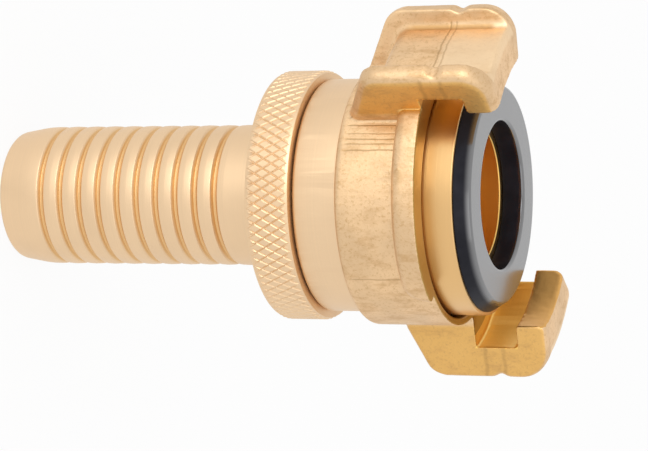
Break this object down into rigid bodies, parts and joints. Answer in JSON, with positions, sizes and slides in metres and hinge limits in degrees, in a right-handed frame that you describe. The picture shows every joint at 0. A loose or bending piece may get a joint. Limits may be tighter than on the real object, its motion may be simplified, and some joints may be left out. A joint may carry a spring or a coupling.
{
  "type": "quarter turn fire hose coupling",
  "caption": "Brass claw coupling with a grooved hose tail, a knurled locking ring that draws the seal tight, and two hooked claws that join by a quarter turn.",
  "frame": {"origin": "centre of the hose tail's end face, on the coupling's axis, where it stands", "axes": "+Z along the coupling's axis from the hose tail to the claws; X runs through the middles of the two claws"},
  "size_m": [0.0548, 0.0422, 0.0798],
  "materials": {
    "turned_brass": "fine turned, satin",
    "forged_brass": "forged and blasted, with machined faces",
    "black_rubber": "smooth moulded rubber",
    "spring_wire": "drawn wire"
  },
  "bodies": {
    "tail": {"hose_tail": "turned_brass", "form_seal": "black_rubber"},
    "swivel": {"snap_ring": "spring_wire"},
    "locking_ring": {"locking_ring": "turned_brass"},
    "claw_head": {"claw_head": "forged_brass"}
  },
  "joints": [
    {"name": "head_swivel", "type": "hinge", "parent": "tail", "child": "swivel", "pos_m": [0, 0, 0.0445], "axis": [0, 0, 1], "continuous": true},
    {"name": "ring_screw", "type": "hinge", "parent": "swivel", "child": "locking_ring", "pos_m": [0, 0, 0.0462], "axis": [0, 0, -1], "range_deg": [0, 1262]},
    {"name": "head_travel", "type": "slide", "parent": "swivel", "child": "claw_head", "axis": [0, 0, 1], "range_m": [0, 0.00525]}
  ],
  "couplings": [
    {"joint": "ring_screw", "follows": "head_travel", "rad_per_m": 4188.8}
  ]
}
